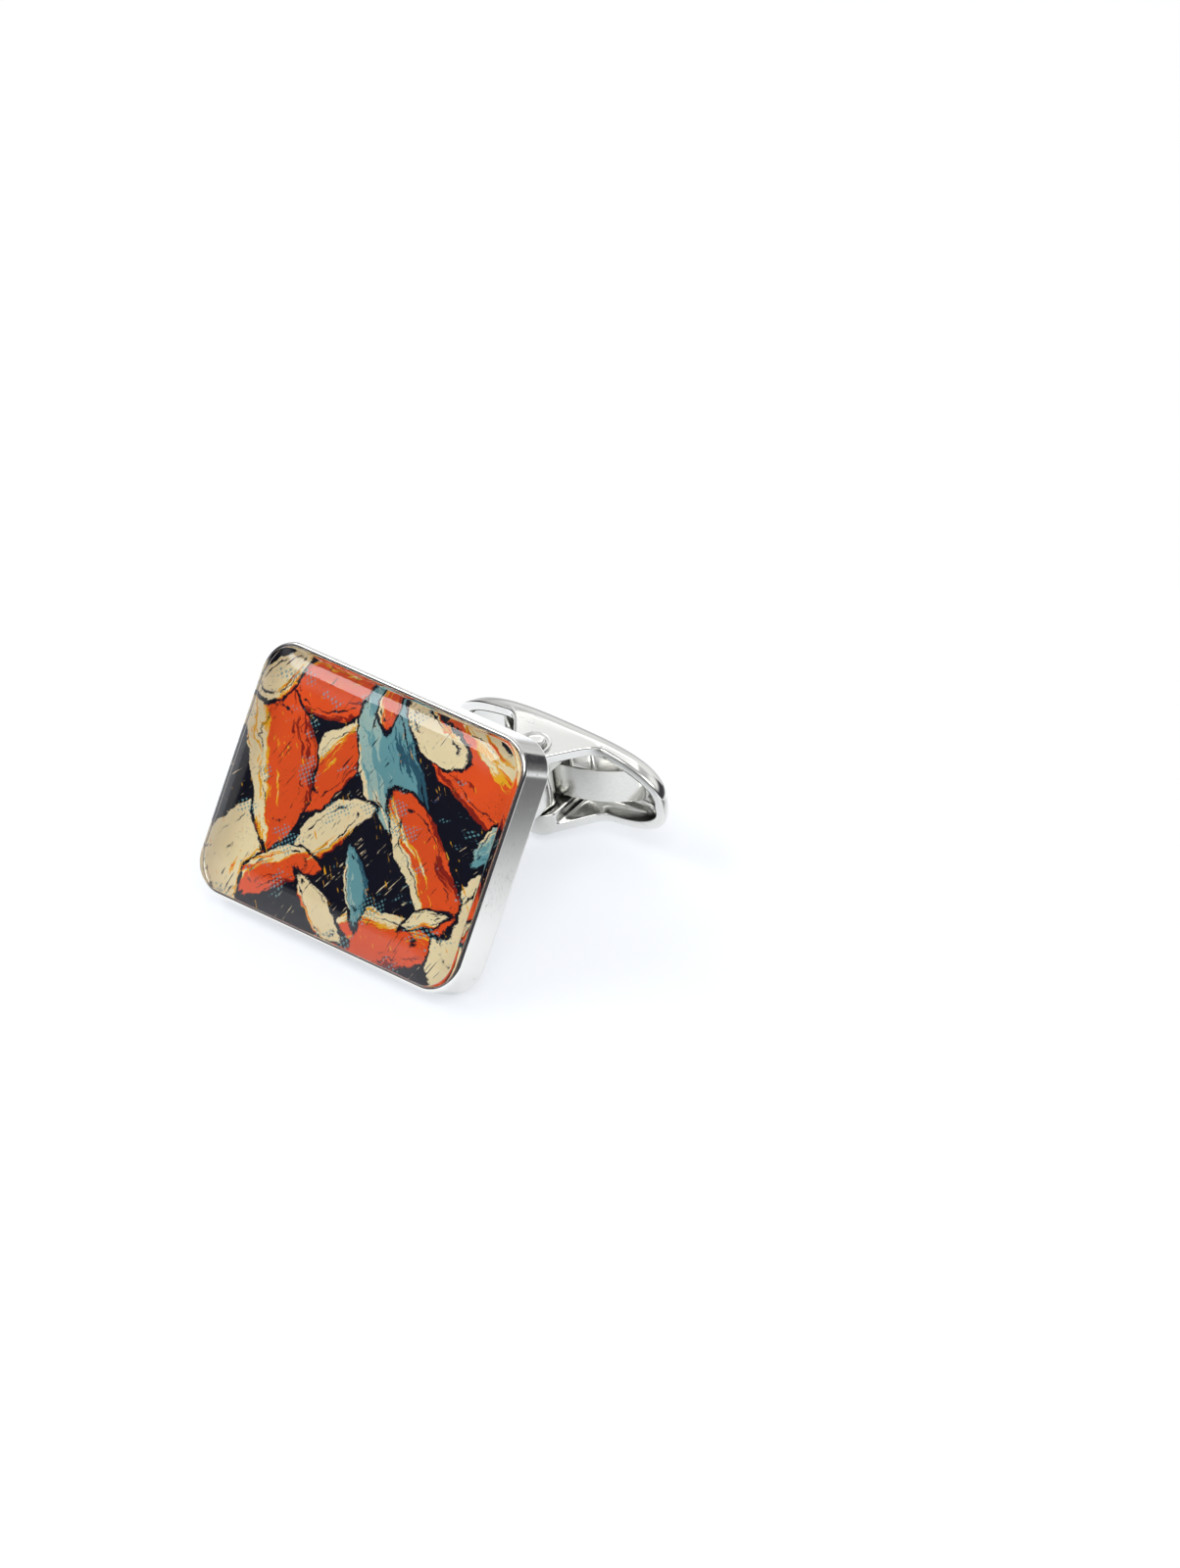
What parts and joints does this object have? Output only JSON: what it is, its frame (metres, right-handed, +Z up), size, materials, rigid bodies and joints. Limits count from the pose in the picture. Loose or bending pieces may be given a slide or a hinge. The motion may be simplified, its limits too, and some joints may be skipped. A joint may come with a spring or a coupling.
{
  "type": "cufflink",
  "caption": "Rectangular cufflink with a glazed picture face in a shallow case, a flat windowed post and a hollow swivelling toggle bar.",
  "frame": {"origin": "centre of the footprint on the table, with the cufflink resting on the case's lower back edge and the lower rivet head", "axes": "+X across the face to the right as seen from the front, +Y to the rear from the face to the toggle, +Z up"},
  "size_m": [0.022, 0.0264, 0.0165],
  "materials": {
    "case_plate": "polished bright plating",
    "clear_adhesive": "clear tape",
    "printed_film": "gloss print",
    "lens_glass": "polished clear",
    "post_plate": "polished bright plating with a cast edge",
    "toggle_plate": "polished bright plating",
    "rivet_plate": "polished bright plating",
    "spring_steel": "rolled spring steel"
  },
  "bodies": {
    "face": {"case": "case_plate", "adhesive_pad": "clear_adhesive", "print_film": "printed_film", "lens": "lens_glass", "post": "post_plate"},
    "toggle": {"toggle_bar": "toggle_plate", "swivel_rivet": "rivet_plate", "leaf_spring": "spring_steel"}
  },
  "joints": [
    {"name": "toggle_swivel", "type": "hinge", "parent": "face", "child": "toggle", "pos_m": [0, 0.00866, 0.00395], "axis": [0, -0.2311, 0.9729], "range_deg": [-90, 90]}
  ]
}
